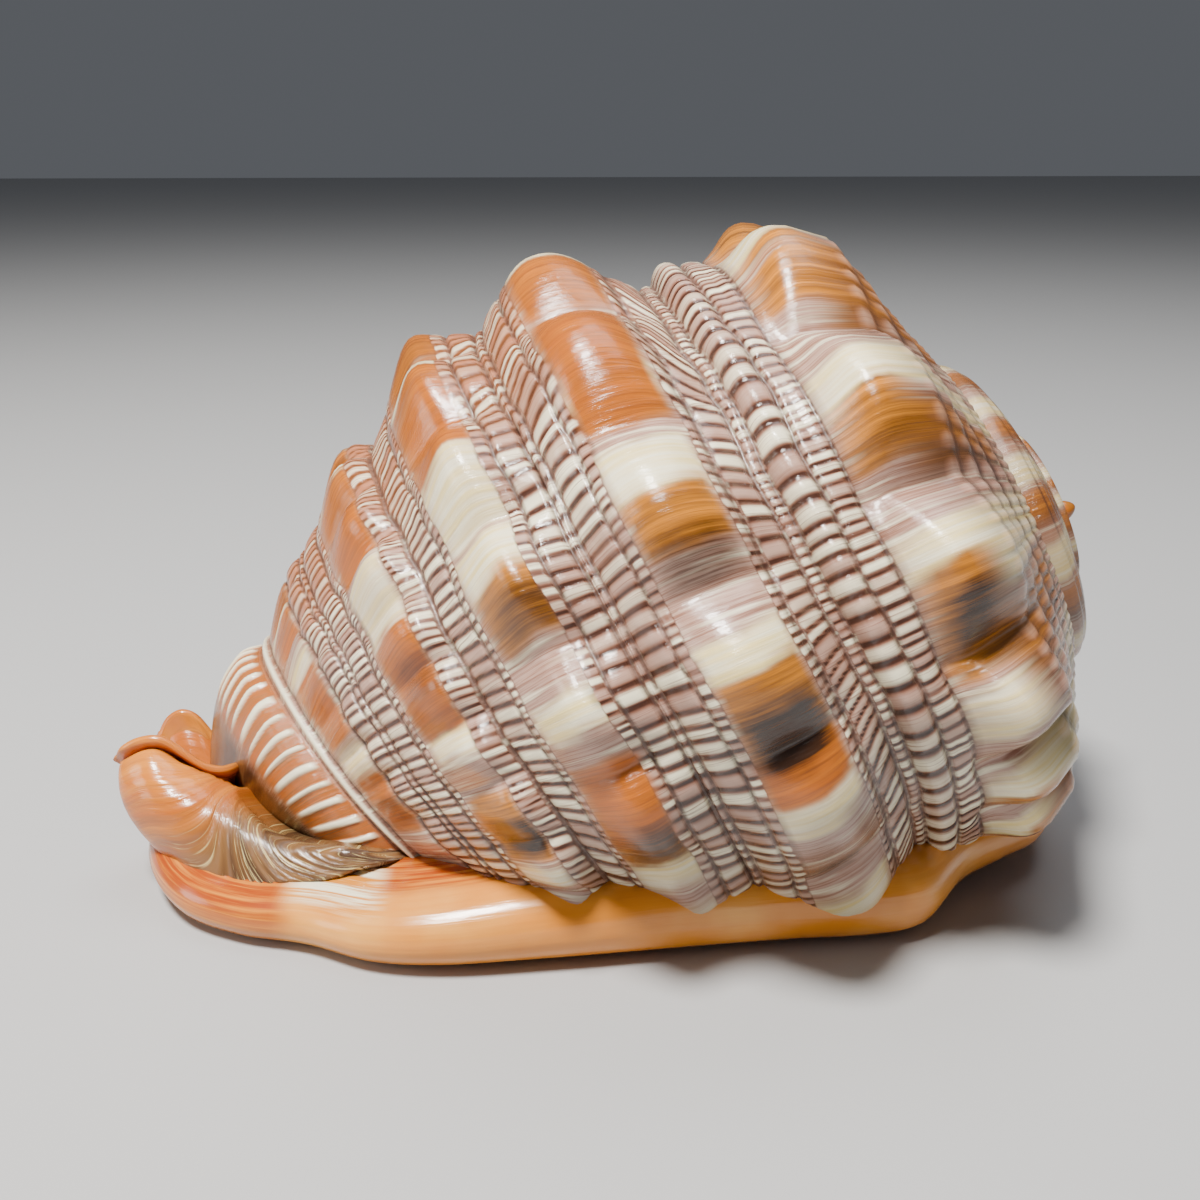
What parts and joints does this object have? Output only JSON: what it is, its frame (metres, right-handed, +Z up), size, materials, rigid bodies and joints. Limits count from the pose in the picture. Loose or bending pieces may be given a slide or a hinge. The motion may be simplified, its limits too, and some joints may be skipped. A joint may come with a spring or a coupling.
{
  "type": "bullmouth helmet shell",
  "caption": "Heavy knobbed marine snail shell with a low spire, a flat shield and thick lip underneath, a narrow toothed aperture and an upturned canal.",
  "frame": {"origin": "on the flat underside of the shield, near the middle of the shell, at the height of the surface that it rests on", "axes": "+X towards the spire, -X towards the canal, -Y the shield side, +Y the outer lip side, +Z up with the shell resting on its aperture side"},
  "size_m": [0.1417, 0.1192, 0.0921],
  "materials": {
    "shell": null
  },
  "bodies": {
    "root": {"helmet_shell": "shell"}
  },
  "joints": []
}
